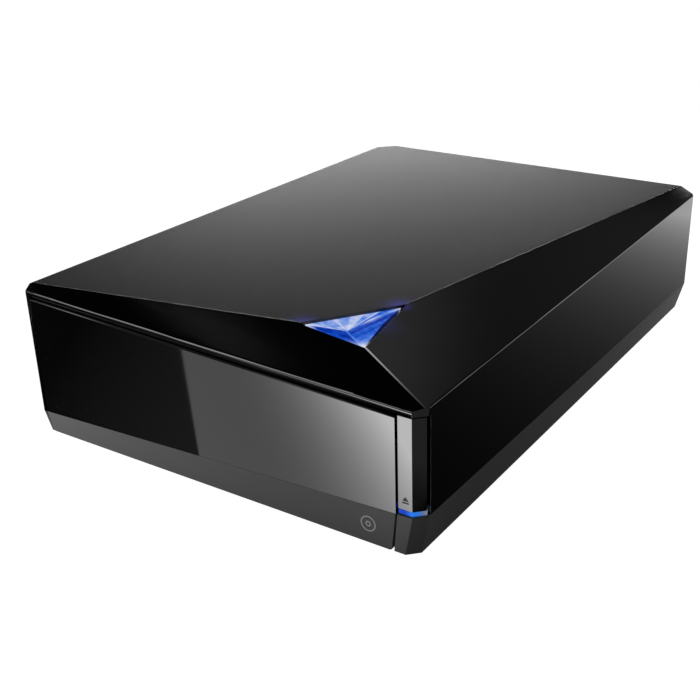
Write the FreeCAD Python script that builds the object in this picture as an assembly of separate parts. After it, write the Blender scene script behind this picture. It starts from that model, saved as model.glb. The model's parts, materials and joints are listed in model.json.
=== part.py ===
"""External optical drive: a desktop enclosure with a half-height tray-loading mechanism inside.

Millimetres. +Z is up, the tray opens towards -Y, +X is the side with the eject button.
The origin is on the ground, under the middle of the enclosure.
"""
import FreeCAD, Part
import math
import os

V = FreeCAD.Vector
os.makedirs("parts", exist_ok=True)

# ---- enclosure, outside -------------------------------------------------------------------
WIDTH = 165.0
LENGTH = 241.0
HX = WIDTH / 2
HY = LENGTH / 2
TOP_Z = 61.2                 # the flat of the top
BASE_Z = 3.0                 # underside of the base; the feet fill the rest
WALL = 2.0
FRONT_WALL = 2.4
FLOOR = 2.2
ROOF = 2.6                   # cover and inlaid top panel together
PANEL_INLAY = 1.2            # thickness of the textured top panel
INLAY_EDGE = 0.5             # gloss edge left around the top panel
INLAY_GAP = 0.35             # open groove between that edge and the panel
CORNER_FRONT = 3.6           # vertical chamfer at the eject button
CORNER_BACK_RIGHT = 1.8
CORNER_BACK_LEFT = 7.3
BASE_TAPER = 2.6             # the base narrows by this much on each side
BASE_TAPER_FRONT = 0.3
SEAM_FRONT_LEFT = 10.7       # height of the seam between cover and base
SEAM_FRONT_RIGHT = 17.2
SEAM_BACK_RIGHT = 14.5
ABOVE = 30.0                 # how far cutting tools reach beyond the part

# ---- the two long facets of the cover -----------------------------------------------------
RIM_LEFT = V(-HX, -HY, 58.9)             # front rim, left end
RIM_LIP = 0.8                            # height of the rim's lip over its undercut
RIM_ROUND = 0.9                          # radius of the lip's upper edge
EDGE_ROUND = 0.5                         # radius of the side tops and rear corners
RIDGE_BEVEL = 0.3
RIM_UNDERCUT = math.tan(math.radians(27.0))
RIDGE_TOP = V(41.3, -96.6, TOP_Z)        # where flat, front facet and right facet would meet
RIDGE_FOOT = V(HX, -118.0, 53.3)         # the ridge reaches the right wall
FLAT_FRONT_LEFT = V(-HX, -117.9, TOP_Z)
FLAT_BACK_RIGHT = V(78.0, 113.8, TOP_Z)
WALL_BACK_RIGHT = V(HX, HY, 55.9)

# ---- jewel --------------------------------------------------------------------------------
JEWEL_LEFT = 0.13            # share of the flat's front edge that the jewel takes, from the ridge
JEWEL_RIGHT = 0.128          # share of the flat's right edge
JEWEL_FOOT = 0.225           # share of the ridge
JEWEL_GAP = 0.5
JEWEL_DEPTH_Z = 55.6         # underside of the jewel
JEWEL_BOARD_Z = 50.4

# ---- front panel, skirt, button -----------------------------------------------------------
PANEL_T = 3.0
PANEL_ROUND = 0.5            # radius of the gloss panel's outer edges
PANEL_LEFT = -81.2
PANEL_RIGHT = 73.1
PANEL_TOP_LEFT = 56.0
PANEL_TOP_RIGHT = 49.65
PANEL_BOTTOM = 3.1
GAP = 0.35
SKIRT_ROUND = 1.2            # radius of the skirt's lower corners
SKIRT_LEAN = 1.8             # the gap at the skirt's right end leans to the left by this much
BUTTON_LEFT = 74.05
BUTTON_T = 3.6
BLOCK_LEFT = BUTTON_LEFT - 0.4   # corner block of the base, under the button
BUTTON_BOTTOM = 19.2
BUTTON_TOP = 50.35
SIDE_WALL_FRONT = -115.8     # where the cover's right wall starts, behind the button
GUIDE_Z0 = 17.3              # light strip under the button
GUIDE_Z1 = 18.9
STEM_X = 75.4
STEM_Z = 34.0
STEM_R = 1.9
STEM_END = -110.6
COLLAR_R = 4.4
COLLAR_Y0 = -112.3
COLLAR_Y1 = -111.5
SPRING_Y0 = -110.0
SPRING_PITCH = 1.6
SPRING_R = 4.1
SPRING_WIRE_R = 0.35
SIGN_X = 76.6                # eject sign
SIGN_Z = 22.4
SIGN_HALF = 1.1
SIGN_DEPTH = 0.2
FRAME_Y0 = -115.6            # front frame
FRAME_Y1 = -113.4
FRAME_HALF = 79.5
SHELF_X0 = 70.2              # shelf for the button's board
SHELF_X1 = 79.4
BUTTON_BOARD_Y0 = -104.5
BUTTON_BOARD_Y1 = -103.3
BUTTON_BOARD_Z0 = 18.7
BUTTON_BOARD_Z1 = 42.0
SWITCH_FACE = -108.0
SLOT_X0 = -71.5              # opening for the tray
SLOT_X1 = 62.9
SLOT_Z0 = 26.5
SLOT_Z1 = 38.0

# ---- optical mechanism --------------------------------------------------------------------
MX = -4.3                    # the mechanism's middle
SHEET = 0.8
MECH_X0 = MX - 73.0
MECH_X1 = MX + 73.0
MECH_Y0 = -112.0
MECH_Y1 = 58.0
MECH_Z0 = 7.0
MECH_Z1 = 48.3
MECH_SPLIT = 40.0            # chassis walls end here, the drive cover's begin
RAIL_IN = 65.7               # half the distance between the loader's rails
RAIL_OUT = 72.0
DISC_Y = -47.0               # spindle axis
TRAY_HALF = 65.0
TRAY_Y0 = -HY + PANEL_T
TRAY_Y1 = 50.0
TRAY_Z0 = 27.0
TRAY_FLOOR = 29.0
TRAY_TOP = 37.0
WELL_R = 60.5
WELL_Z = 31.2
SMALL_WELL_R = 40.5
SMALL_WELL_Z = 30.2
WINDOW_HALF = 22.5
DECK_Z = 9.0                 # loader's lower deck
BOARD_Z = 9.2
BOARD_TOP = BOARD_Z + 1.6

RACK_PITCH_X = -56.0
RACK_MODULE = 1.0
RACK_BACK = 4.0              # depth of the rack's bar behind its teeth
RACK_Z0 = 22.5
RACK_ROOM = 0.8              # clearance around the rack where it passes a wall
PINION_TEETH = 16
TRAIN_MODULE = 0.8
WHEEL_TEETH = 40
SMALL_TEETH = 10
PULLEY_R = 10.0
MOTOR_PULLEY_R = 3.0
POST_R = 2.0
RUN = 0.06                   # running clearance on posts and shafts
DRIVE_X = RACK_PITCH_X + RACK_MODULE * PINION_TEETH / 2
DRIVE_Y = -90.0
TRAIN_D = TRAIN_MODULE * (WHEEL_TEETH + SMALL_TEETH) / 2
TRAIN_ANGLE = math.radians(-18.0)
PULLEY_X = DRIVE_X + TRAIN_D * math.cos(TRAIN_ANGLE)
PULLEY_Y = DRIVE_Y + TRAIN_D * math.sin(TRAIN_ANGLE)
MOTOR_X = 6.0
MOTOR_Y = -96.5
BELT_Z0 = 21.2
BELT_Z1 = 24.6

HINGE_Y = 35.0               # traverse hinge
HINGE_Z = 19.0
TRAVERSE_X0 = -40.0
TRAVERSE_X1 = 38.0
TRAVERSE_Y0 = -72.0
TRAVERSE_Y1 = 38.5
TRAVERSE_Z0 = 17.0
TRAVERSE_Z1 = 21.0
TIP_ANGLE = math.radians(4.0)
CAM_TRAVEL = 22.0
CAM_Y0 = -79.0
CAM_Y1 = -76.0
CAM_PIN_Z = 22.0
CAM_PIN_R = 1.3
CAM_PIN_ARM = HINGE_Y - (CAM_Y0 + CAM_Y1) / 2    # from the hinge to the cam's pin
CAM_X0 = -33.0
CAM_X1 = 24.0
CAM_TOP = 26.0
CAM_GUIDE_X1 = 56.0
SPINDLE_R = 12.0
SPINDLE_SHAFT_R = 1.2
TABLE_R = 14.5
TABLE_Z = 31.6               # the disc lies here
FEED_X0 = -31.5              # opening for the pickup
FEED_X1 = 30.5
FEED_Y0 = -34.5
FEED_Y1 = 29.0
ROD_R = 1.5
ROD_Z = 19.0
ROD_LEFT = -28.0
ROD_RIGHT = 19.4
ROD_Y0 = -38.4
ROD_Y1 = 32.4
SCREW_X = 26.6
SCREW_R = 1.5
SCREW_Y0 = -38.2
SCREW_Y1 = 28.7
SCREW_PITCH = 3.0
FEED_MOTOR_R = 5.2
FEED_MOTOR_Y0 = 29.6
FEED_MOTOR_Y1 = 40.0
PICKUP_Y0 = -33.0
PICKUP_Y1 = -9.0
EAR_Z0 = 16.4
EAR_Z1 = 21.6
LENS_Y = -24.0
LENS_R = 3.0
CLAMP_R = 12.5
CLAMP_FLANGE_R = 18.0

# ---- rear ---------------------------------------------------------------------------------
PORT_X0 = -62.0
PORT_X1 = 58.0
PORT_Z0 = 6.4
PORT_Z1 = 32.0
USB_X = 20.0
USB_HALF = 6.1
JACK_X = -12.0
JACK_Z = 16.4
SOCKET_FACE = HY - 0.6       # sockets end just inside the rear panel
REAR_BOARD_X0 = -50.0
REAR_BOARD_X1 = 42.0
REAR_BOARD_Y0 = 60.0
REAR_BOARD_Y1 = 114.0
LINK_X0 = -16.0
LINK_X1 = 10.0
LINK_H = 4.4
VENTS = 14
VENT_PITCH = 7.7

BOSS_R = 3.6                 # bosses for the case screws
CASE_BOSS_Z = 22.0
PILOT_R = 1.3
MECH_BOSS_R = 5.0
BOARD_BOSS_R = 3.0
FOOT_R = 7.0
CASE_SCREWS = ((-70.0, 96.0), (70.0, 96.0), (73.6, -60.0), (73.6, 30.0))
MECH_SCREWS = ((-58.0, -92.0), (50.0, -92.0), (-58.0, 44.0), (50.0, 44.0))
BOARD_SCREWS = ((-44.0, 66.0), (36.0, 66.0), (-44.0, 108.0), (36.0, 108.0))
FEET = ((-67.0, -104.0), (67.0, -104.0), (-67.0, 108.0), (67.0, 108.0))


# ---- helpers ------------------------------------------------------------------------------
def box(x0, x1, y0, y1, z0, z1):
    return Part.makeBox(x1 - x0, y1 - y0, z1 - z0, V(x0, y0, z0))


def post(x, y, z0, z1, r):
    return Part.makeCylinder(r, z1 - z0, V(x, y, z0))


def bar_x(x0, x1, y, z, r):
    return Part.makeCylinder(r, x1 - x0, V(x0, y, z), V(1, 0, 0))


def bar_y(y0, y1, x, z, r):
    return Part.makeCylinder(r, y1 - y0, V(x, y0, z), V(0, 1, 0))


def join(shapes):
    return shapes[0].multiFuse(shapes[1:]).removeSplitter()


def polygon_wire(points):
    return Part.makePolygon(list(points) + [points[0]])


def prism(points, z0, z1):
    """A vertical prism on a plan outline of (x, y) points."""
    face = Part.Face(polygon_wire([V(x, y, z0) for x, y in points]))
    return face.extrude(V(0, 0, z1 - z0))


def prism_y(points, y0, y1):
    """A prism along Y on an outline of (x, z) points."""
    face = Part.Face(polygon_wire([V(x, y0, z) for x, z in points]))
    return face.extrude(V(0, y1 - y0, 0))


def inset(points, distance):
    """Move every side of a convex counter-clockwise outline inwards, or outwards if negative."""
    lines = []
    for (x0, y0), (x1, y1) in zip(points, points[1:] + points[:1]):
        length = math.hypot(x1 - x0, y1 - y0)
        nx, ny = -(y1 - y0) / length, (x1 - x0) / length
        lines.append((nx, ny, nx * x0 + ny * y0 + distance))
    corners = []
    for (a, b, c), (d, e, f) in zip(lines[-1:] + lines[:-1], lines):
        det = a * e - b * d
        corners.append(((c * e - b * f) / det, (a * f - c * d) / det))
    return corners


def save(name, shapes):
    """Write one node, a single solid or a group of separate solids."""
    shape = shapes if not isinstance(shapes, (list, tuple)) else Part.makeCompound(list(shapes))
    solids = shape.Solids
    if not shape.isValid() or not solids:
        raise ValueError(name + " is not a valid solid")
    if len(solids) == 1:
        shape = solids[0]
    shape.exportStep("parts/" + name + ".step")
    print(name, len(solids), round(shape.Volume, 1))


# ---- enclosure form -----------------------------------------------------------------------
def seam_z(x, y):
    along_x = (SEAM_FRONT_RIGHT - SEAM_FRONT_LEFT) / WIDTH
    along_y = (SEAM_BACK_RIGHT - SEAM_FRONT_RIGHT) / LENGTH
    return SEAM_FRONT_LEFT + along_x * (x + HX) + along_y * (y + HY)


def plan(side=0.0, front=0.0):
    """The enclosure's outline in plan, moved in by side at the sides and back, by front in front."""
    x, y0, y1 = HX - side, -HY + front, HY - side
    return [
        (-x, y0),
        (x - CORNER_FRONT, y0),
        (x, y0 + CORNER_FRONT),
        (x, y1 - CORNER_BACK_RIGHT),
        (x - CORNER_BACK_RIGHT, y1),
        (-x + CORNER_BACK_LEFT, y1),
        (-x, y1 - CORNER_BACK_LEFT),
    ]


def above_patch(low0, low1, high0, high1, drop):
    """Everything above a ruled patch that runs from the line low0-low1 to the line high0-high1."""
    def at(u, v):
        low = low0 + (low1 - low0) * u
        high = high0 + (high1 - high0) * u
        return low + (high - low) * v - V(0, 0, drop)

    corner = [at(-0.12, -0.35), at(1.12, -0.35), at(1.12, 1.35), at(-0.12, 1.35)]
    roof = [V(p.x, p.y, TOP_Z + ABOVE) for p in corner]
    patch = Part.makeRuledSurface(
        Part.LineSegment(corner[0], corner[1]).toShape(),
        Part.LineSegment(corner[3], corner[2]).toShape(),
    )
    faces = [patch, Part.Face(polygon_wire(roof))]
    for i in range(4):
        j = (i + 1) % 4
        faces.append(Part.Face(polygon_wire([corner[i], corner[j], roof[j], roof[i]])))
    shell = Part.Shell(faces)
    shell.sewShape()
    return Part.Solid(shell)


def facets_cut(solid, drop):
    """Cut the front, right and back facets from a solid, drop below the outer surface."""
    front = above_patch(RIM_LEFT, RIDGE_FOOT, FLAT_FRONT_LEFT, RIDGE_TOP, drop)
    right = above_patch(RIDGE_FOOT, WALL_BACK_RIGHT, RIDGE_TOP, FLAT_BACK_RIGHT, drop)
    left_back = V(-HX + CORNER_BACK_LEFT, HY, TOP_Z)
    out = (FLAT_BACK_RIGHT - left_back).cross(WALL_BACK_RIGHT - left_back)
    if out.z < 0:
        out = out * -1
    back = Part.Face(Part.makePlane(600, 600).Wires[0])
    back.translate(V(-300, -300, 0))
    back.rotate(V(0, 0, 0), V(0, 0, 1).cross(out), math.degrees(V(0, 0, 1).getAngle(out)))
    back.translate(left_back - V(0, 0, drop))
    back = back.extrude(out.normalize() * 60)
    return solid.cut(front).cut(right).cut(back)


def rim_z(x):
    """Height of the front rim's upper edge."""
    share = (x - RIM_LEFT.x) / (RIDGE_FOOT.x - RIM_LEFT.x)
    along = RIM_LEFT + (RIDGE_FOOT - RIM_LEFT) * share
    up = FLAT_FRONT_LEFT + (RIDGE_TOP - FLAT_FRONT_LEFT) * share
    return along.z - (along.y + HY) * (up.z - along.z) / (up.y - along.y)


def rim_undercut():
    """Wedge under the lip of the front rim, down to the top of the front panel."""
    ends = []
    for x in (PANEL_LEFT, HX - CORNER_FRONT):
        lip, low = rim_z(x) - RIM_LIP, panel_top(x) - 1.0
        back = -HY + (lip - low) * RIM_UNDERCUT
        ends.append(polygon_wire([V(x, -HY, lip), V(x, back, low), V(x, -HY - 3, low),
                                  V(x, -HY - 3, lip)]))
    return Part.makeLoft(ends, True, True)


def rounded_cover(solid):
    """Round the rim's lip, the tops of the sides and the rear corners, and bevel the ridge."""
    top_edge = RIDGE_FOOT.z - 3
    rim = [e for e in solid.Edges if e.BoundBox.XLength > HX and e.BoundBox.YMax < -HY + 0.1
           and e.BoundBox.ZMin > top_edge]
    solid = solid.makeFillet(RIM_ROUND, rim)
    edges = []
    for edge in solid.Edges:
        room = edge.BoundBox
        side_top = room.XLength < 0.1 and room.YLength > HY and room.ZMin > top_edge
        rear_corner = room.ZLength > TOP_Z / 2 and room.YMin > 0
        if side_top or rear_corner:
            edges.append(edge)
    solid = solid.makeFillet(EDGE_ROUND, edges)
    ridge = [e for e in solid.Edges if e.BoundBox.XLength > 10 and e.BoundBox.XMin > RIDGE_TOP.x - 1
             and e.BoundBox.YMax < -HY / 2 and e.BoundBox.ZMin > top_edge]
    return solid.makeChamfer(RIDGE_BEVEL, ridge)


def form(side, front, roof, drop):
    """The closed upper form of the enclosure, its walls moved in and its top lowered."""
    return facets_cut(prism(plan(side, front), -2.0, TOP_Z - roof), drop)


def below_seam():
    x, y = HX + ABOVE, HY + ABOVE
    corners = [(-x, -y), (x, -y), (x, y), (-x, y)]
    top = polygon_wire([V(x, y, seam_z(x, y)) for x, y in corners])
    bottom = polygon_wire([V(x, y, -ABOVE) for x, y in corners])
    return Part.makeLoft([bottom, top], True, True)


def base_form(side, front, z0):
    """The tapered lower form, from z0 up to the seam."""
    share = (z0 - BASE_Z) / (SEAM_FRONT_RIGHT - BASE_Z)
    taper = BASE_TAPER * (1 - share)
    low = plan(side + taper, front + BASE_TAPER_FRONT * (1 - share))
    high = plan(side, front)
    bottom = polygon_wire([V(x, y, z0) for x, y in low])
    top = polygon_wire([V(x, y, seam_z(x, y)) for x, y in high])
    return Part.makeLoft([bottom, top], True, True)


def jewel_corners():
    left = RIDGE_TOP + (FLAT_FRONT_LEFT - RIDGE_TOP) * JEWEL_LEFT
    right = RIDGE_TOP + (FLAT_BACK_RIGHT - RIDGE_TOP) * JEWEL_RIGHT
    foot = RIDGE_TOP + (RIDGE_FOOT - RIDGE_TOP) * JEWEL_FOOT
    return [(left.x, left.y), (foot.x, foot.y), (right.x, right.y)]


def jewel_prism(grow, z0, z1):
    return prism(inset(jewel_corners(), -grow), z0, z1)


def panel_top(x):
    share = (x - PANEL_LEFT) / (PANEL_RIGHT - PANEL_LEFT)
    return PANEL_TOP_LEFT + (PANEL_TOP_RIGHT - PANEL_TOP_LEFT) * share


def skirt_left(z):
    """The skirt's left edge follows the base's taper."""
    share = max(0.0, (SEAM_FRONT_LEFT - z) / (SEAM_FRONT_LEFT - BASE_Z))
    return PANEL_LEFT + BASE_TAPER * share


# ---- enclosure parts ----------------------------------------------------------------------
def front_recess():
    """Room for the front panel with its skirt, and for the button with its light strip."""
    x0, x1 = PANEL_LEFT - GAP, BLOCK_LEFT
    low_left = skirt_left(0.0) - GAP
    panel = prism_y(
        [(x0, SEAM_FRONT_LEFT), (low_left, 0), (x1 - SKIRT_LEAN, 0), (x1, SEAM_FRONT_RIGHT),
         (x1, panel_top(x1) + GAP), (x0, panel_top(x0) + GAP)],
        -HY - 2, -HY + PANEL_T + 0.9,
    )
    button = box(x1 - 1, HX + 1, -HY - 2, SIDE_WALL_FRONT, BASE_Z, BUTTON_TOP + GAP)
    return panel, button


def top_cover():
    shell = rounded_cover(form(0, 0, 0, 0)).cut(rim_undercut())
    cavity = form(WALL, FRONT_WALL, ROOF, WALL + 0.1)
    inlay = prism(flat_outline(INLAY_EDGE), TOP_Z - PANEL_INLAY, TOP_Z + 5)
    panel, button = front_recess()
    jewel = jewel_prism(JEWEL_GAP, 40, TOP_Z + 5)
    notch = box(PORT_X0, PORT_X1, HY - WALL - 1, HY + 1, 0, PORT_Z1)
    shell = shell.cut(below_seam()).cut(cavity).cut(inlay).cut(panel).cut(button)
    shell = shell.cut(jewel).cut(notch)
    bosses = []
    for x, y in CASE_SCREWS:
        boss = post(x, y, CASE_BOSS_Z, TOP_Z, BOSS_R)
        bosses.append(boss.cut(post(x, y, CASE_BOSS_Z - 1, CASE_BOSS_Z + 12, PILOT_R)))
    roof_room = form(WALL / 2, WALL, ROOF / 2 + PANEL_INLAY, WALL / 2)
    bosses = [boss.common(roof_room) for boss in bosses]
    return join([shell] + bosses)


def flat_outline(distance):
    """The flat of the top, counter-clockwise, moved in by a distance."""
    corners = [
        (FLAT_FRONT_LEFT.x, FLAT_FRONT_LEFT.y),
        (RIDGE_TOP.x, RIDGE_TOP.y),
        (FLAT_BACK_RIGHT.x, FLAT_BACK_RIGHT.y),
        (-HX + CORNER_BACK_LEFT, HY),
        (-HX, HY - CORNER_BACK_LEFT),
    ]
    return inset(corners, distance)


def top_panel():
    plate = prism(flat_outline(INLAY_EDGE + INLAY_GAP), TOP_Z - PANEL_INLAY, TOP_Z)
    return plate.cut(jewel_prism(JEWEL_GAP + 0.1, 40, TOP_Z + 5))


def base_tray():
    shell = base_form(0, 0, BASE_Z)
    floor_z = BASE_Z + FLOOR
    cavity = base_form(WALL, 5.7, floor_z)
    front_cut = box(-HX + WALL, BLOCK_LEFT, -HY - 2, -110.0, DECK_Z, 30)
    panel, _ = front_recess()
    notch = box(PORT_X0, PORT_X1, HY - 5.5, HY + 1, PORT_Z0, 40)
    shell = shell.cut(cavity).cut(front_cut).cut(panel).cut(notch)
    adds = [box(BLOCK_LEFT, HX - BASE_TAPER - WALL, -HY + 5, -HY + 8, floor_z, 14.0)]
    for x, y in CASE_SCREWS:
        adds.append(post(x, y, floor_z, CASE_BOSS_Z - 0.2, BOSS_R))
    for x, y in MECH_SCREWS:
        adds.append(post(x, y, floor_z, MECH_Z0, MECH_BOSS_R))
    for x, y in BOARD_SCREWS:
        adds.append(post(x, y, floor_z, BOARD_Z, BOARD_BOSS_R))
    shell = join([shell] + adds)
    for x, y in CASE_SCREWS:
        shell = shell.cut(post(x, y, 0, 40, 1.7)).cut(post(x, y, 0, 14.0, 2.9))
    for x, y in MECH_SCREWS:
        shell = shell.cut(post(x, y, 0, 10, 1.7)).cut(post(x, y, 0, 5.6, 3.0))
    for x, y in BOARD_SCREWS:
        shell = shell.cut(post(x, y, 5.4, 12, 1.0))
    for x, y in FEET:
        shell = shell.cut(post(x, y, 0, BASE_Z + 0.6, FOOT_R + 0.2))
    return shell


def front_outline(z_low_left, z_low_right, left_low):
    return [(left_low, z_low_left), (PANEL_RIGHT, z_low_right),
            (PANEL_RIGHT, PANEL_TOP_RIGHT), (PANEL_LEFT, PANEL_TOP_LEFT)]


def front_panel():
    """Gloss upper part of the tray's front, down to the seam line; its right edge is crisp."""
    low_left = seam_z(PANEL_LEFT, -HY) + 0.05
    low_right = seam_z(PANEL_RIGHT, -HY) + 0.05
    plate = prism_y(front_outline(low_left, low_right, PANEL_LEFT), -HY, -HY + PANEL_T)
    outer = [e for e in plate.Edges if e.BoundBox.YMax < -HY + 0.1
             and e.BoundBox.ZMax > SEAM_FRONT_RIGHT + 1 and e.BoundBox.XMin < 0]
    return plate.makeFillet(PANEL_ROUND, outer)


def front_skirt():
    """Matt lower part of the tray's front, with rounded lower corners."""
    low_left = seam_z(PANEL_LEFT, -HY) - 0.05
    low_right = seam_z(PANEL_RIGHT, -HY) - 0.05
    low_corner = PANEL_RIGHT - SKIRT_LEAN * (1 - PANEL_BOTTOM / SEAM_FRONT_RIGHT)
    plate = prism_y(
        [(skirt_left(PANEL_BOTTOM), PANEL_BOTTOM), (low_corner, PANEL_BOTTOM),
         (PANEL_RIGHT, low_right), (PANEL_LEFT, low_left)],
        -HY, -HY + PANEL_T,
    )
    corners = [e for e in plate.Edges
               if abs(e.Vertexes[0].Point.z - PANEL_BOTTOM) < 0.01
               and abs(e.Vertexes[1].Point.z - PANEL_BOTTOM) < 0.01
               and abs(e.Vertexes[0].Point.x - e.Vertexes[1].Point.x) < 0.01]
    return plate.makeFillet(SKIRT_ROUND, corners)


def front_frame():
    """Inner bezel: closes the front behind the panel, and carries the button's board."""
    top_left, top_right = panel_top(-FRAME_HALF) + 0.6, panel_top(FRAME_HALF) - 0.6
    block = BLOCK_LEFT - 0.2
    plate = prism_y(
        [(-FRAME_HALF, DECK_Z), (block, DECK_Z), (block, GUIDE_Z0), (FRAME_HALF, GUIDE_Z0),
         (FRAME_HALF, top_right), (-FRAME_HALF, top_left)],
        FRAME_Y0, FRAME_Y1,
    )
    shelf = box(SHELF_X0, SHELF_X1, FRAME_Y1, BUTTON_BOARD_Y1, GUIDE_Z0, BUTTON_BOARD_Z0)
    frame = join([plate, shelf])
    frame = frame.cut(box(SLOT_X0, SLOT_X1, FRAME_Y0 - 1, FRAME_Y1 + 1, SLOT_Z0, SLOT_Z1))
    frame = frame.cut(rack_channel(FRAME_Y0 - 1, FRAME_Y1 + 1))
    return frame.cut(bar_y(FRAME_Y0 - 1, FRAME_Y1 + 1, STEM_X, STEM_Z, STEM_R + 0.5))


def corner_outline(depth, edge=0.0):
    """Plan of the pieces that wrap the chamfered front corner."""
    y0 = -HY + edge
    x1 = HX - 0.4
    cut = y0 + CORNER_FRONT - 0.4
    return [(BUTTON_LEFT, y0), (HX - CORNER_FRONT, y0), (x1, cut), (x1 - 0.6, y0 + depth),
            (BUTTON_LEFT, y0 + depth)]


def eject_button():
    face = prism(corner_outline(BUTTON_T), BUTTON_BOTTOM, BUTTON_TOP)
    back = -HY + BUTTON_T
    stem = bar_y(back - 0.5, STEM_END, STEM_X, STEM_Z, STEM_R)
    collar = bar_y(COLLAR_Y0, COLLAR_Y1, STEM_X, STEM_Z, COLLAR_R)
    return join([face, stem, collar]).cut(eject_sign())


def eject_sign():
    """Engraved eject sign, a triangle over a bar."""
    left, right, floor = SIGN_X - SIGN_HALF, SIGN_X + SIGN_HALF, -HY + SIGN_DEPTH
    triangle = prism_y([(left, SIGN_Z), (right, SIGN_Z), (SIGN_X, SIGN_Z + 1.4)], -HY - 1, floor)
    line = box(left, right, -HY - 1, floor, SIGN_Z - 0.9, SIGN_Z - 0.4)
    return Part.makeCompound([triangle, line])


def button_light_guide():
    return prism(corner_outline(4.4, 0.15), GUIDE_Z0, GUIDE_Z1)


def button_spring():
    """Stacked rings joined by short posts, around the switch."""
    pieces = []
    for i in range(4):
        y = SPRING_Y0 + SPRING_PITCH * i
        pieces.append(Part.makeTorus(SPRING_R, SPRING_WIRE_R, V(STEM_X, y, STEM_Z), V(0, 1, 0)))
        if i < 3:
            side = SPRING_R if i % 2 == 0 else -SPRING_R
            pieces.append(bar_y(y, y + SPRING_PITCH, STEM_X + side, STEM_Z, 0.3))
    return join(pieces)


def button_board():
    return box(SHELF_X0 + 0.2, SHELF_X1, BUTTON_BOARD_Y0, BUTTON_BOARD_Y1,
               BUTTON_BOARD_Z0, BUTTON_BOARD_Z1)


def eject_switch():
    body = bar_y(SWITCH_FACE, BUTTON_BOARD_Y0, STEM_X, STEM_Z, 3.0)
    plunger = bar_y(SWITCH_FACE - 1.5, SWITCH_FACE + 0.1, STEM_X, STEM_Z, 1.4)
    return join([body, plunger])


def jewel_lens():
    return form(0, 0, 0, 0.15).common(jewel_prism(0, JEWEL_DEPTH_Z, TOP_Z - 0.05))


def jewel_reflector():
    """Three-sided cup that hangs under the cover around the jewel."""
    room = form(WALL, FRONT_WALL, ROOF, WALL + 0.15)
    wall = room.common(jewel_prism(2.2, JEWEL_BOARD_Z + 1.0, 59.5))
    wall = wall.cut(jewel_prism(0.3, JEWEL_BOARD_Z, 62))
    ledge = jewel_prism(1.2, JEWEL_DEPTH_Z - 1.1, JEWEL_DEPTH_Z - 0.1)
    ledge = ledge.cut(jewel_prism(-1.6, JEWEL_BOARD_Z, 62))
    return join([wall, ledge])


def jewel_light_board():
    board = jewel_prism(2.2, JEWEL_BOARD_Z, JEWEL_BOARD_Z + 0.9)
    lights = []
    corners = jewel_corners()
    mid_x = sum(p[0] for p in corners) / 3
    mid_y = sum(p[1] for p in corners) / 3
    for x, y in corners:
        px, py = mid_x + 0.35 * (x - mid_x), mid_y + 0.35 * (y - mid_y)
        lights.append(box(px - 1.2, px + 1.2, py - 0.8, py + 0.8,
                          JEWEL_BOARD_Z + 0.9, JEWEL_BOARD_Z + 2.0))
    return board, lights


def rubber_feet():
    feet = []
    for x, y in FEET:
        foot = post(x, y, 0, BASE_Z + 0.5, FOOT_R)
        rim = [e for e in foot.Edges if abs(e.BoundBox.ZMax) < 0.01]
        feet.append(foot.makeFillet(0.8, rim))
    return feet


def screw(x, y, z_head, head_h, head_r, z_tip, shank_r):
    """A countersunk machine screw pointing up, with a cross recess."""
    body = join([post(x, y, z_head, z_head + head_h, head_r),
                 post(x, y, z_head + head_h - 0.1, z_tip, shank_r)])
    slot_a = box(x - 1.4, x + 1.4, y - 0.25, y + 0.25, z_head - 1, z_head + 0.9)
    slot_b = box(x - 0.25, x + 0.25, y - 1.4, y + 1.4, z_head - 1, z_head + 0.9)
    return body.cut(slot_a).cut(slot_b)


def rear_panel():
    plate = box(PORT_X0 + 0.2, PORT_X1 - 0.2, HY - WALL - 3.0, HY,
                PORT_Z0 + 0.2, PORT_Z1 - 0.2)
    skin = form(0.3, 0.3, 0, 0).cut(below_seam()).fuse(base_form(0.3, 0.3, BASE_Z))
    inner = WALL + 0.4
    y0, y1 = SOCKET_FACE - 10, HY + 5
    core = form(inner, inner, 0, 0).cut(below_seam()).fuse(base_form(inner, inner, BASE_Z))
    plate = plate.common(skin).cut(core)
    flange = box(PORT_X0 - 2.5, PORT_X1 + 2.5, HY - WALL - 1.6, HY - inner + 0.2,
                 seam_z(PORT_X1, HY) + 0.3, PORT_Z1 + 2.5)
    plate = join([plate, flange])
    plate = plate.cut(box(USB_X - USB_HALF - 0.3, USB_X + USB_HALF + 0.3, y0, y1, 10.5, 21.9))
    plate = plate.cut(bar_y(y0, y1, JACK_X, JACK_Z, 4.2))
    for i in range(VENTS):
        x = PORT_X0 + 8 + i * VENT_PITCH
        plate = plate.cut(box(x, x + 3.6, y0, y1, 24.6, 29.6))
    return plate


# ---- rear electronics ---------------------------------------------------------------------
def bridge_board():
    plate = box(REAR_BOARD_X0, REAR_BOARD_X1, REAR_BOARD_Y0, REAR_BOARD_Y1, BOARD_Z, BOARD_TOP)
    for x, y in BOARD_SCREWS:
        plate = plate.cut(post(x, y, 5, 15, 1.3))
    return plate


def bridge_chips():
    top = BOARD_TOP
    chips = [
        box(-4, 8, 78, 90, top, top + 1.2),
        box(-22, -16, 80, 86, top, top + 1.0),
        box(22, 28, 78, 86, top, top + 1.6),
        box(-36, -28, 84, 92, top, top + 3.6),
    ]
    cans = [post(x, 100.0, top, top + 6.0, 3.1) for x in (-36.0, -28.0)]
    cans.append(post(34.0, 92.0, top, top + 5.0, 2.5))
    return chips + cans


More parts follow.
